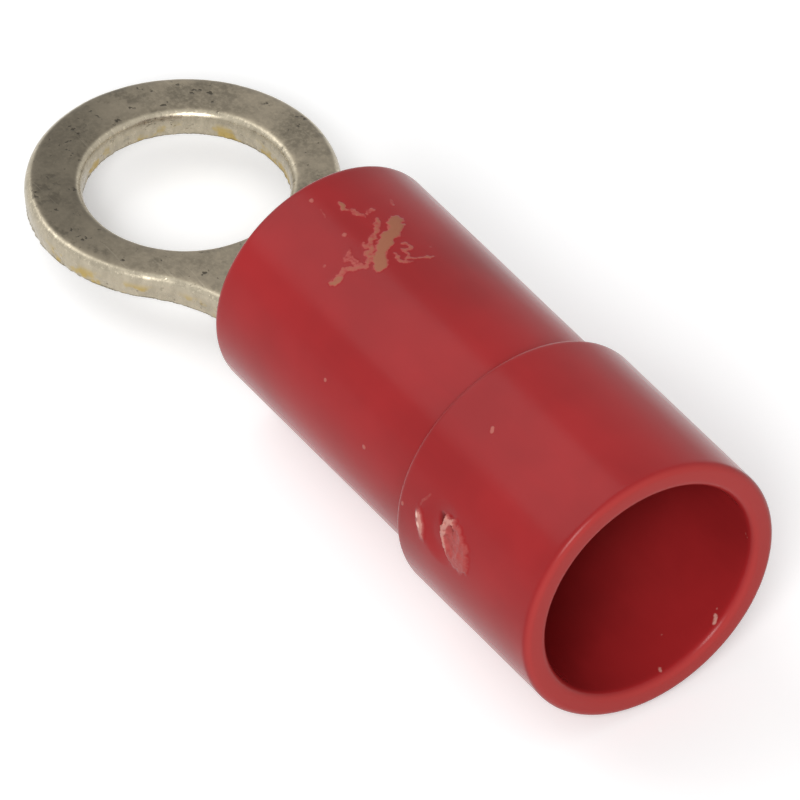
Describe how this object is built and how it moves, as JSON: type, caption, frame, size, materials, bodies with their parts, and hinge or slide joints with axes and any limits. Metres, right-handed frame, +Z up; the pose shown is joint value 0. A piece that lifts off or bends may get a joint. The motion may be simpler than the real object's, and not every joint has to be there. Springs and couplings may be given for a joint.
{
  "type": "insulated ring terminal",
  "caption": "Insulated crimp ring terminal: flat ring tongue for a stud, rolled wire barrel, and a stepped plastic sleeve with a wide wire entry.",
  "frame": {"origin": "centre of the stud hole on the underside of the tongue", "axes": "+X along the sleeve towards the wire entry, +Z up through the stud hole, on the side the barrel rises to"},
  "size_m": [0.031, 0.0102, 0.0093],
  "materials": {
    "tinned_copper": "dull hot-tinned copper sheet, grey-beige with dark pits and straw-coloured patches",
    "sleeve_plastic": "moulded red nylon, satin gloss"
  },
  "bodies": {
    "root": {"terminal": "tinned_copper", "sleeve": "sleeve_plastic"}
  },
  "joints": []
}
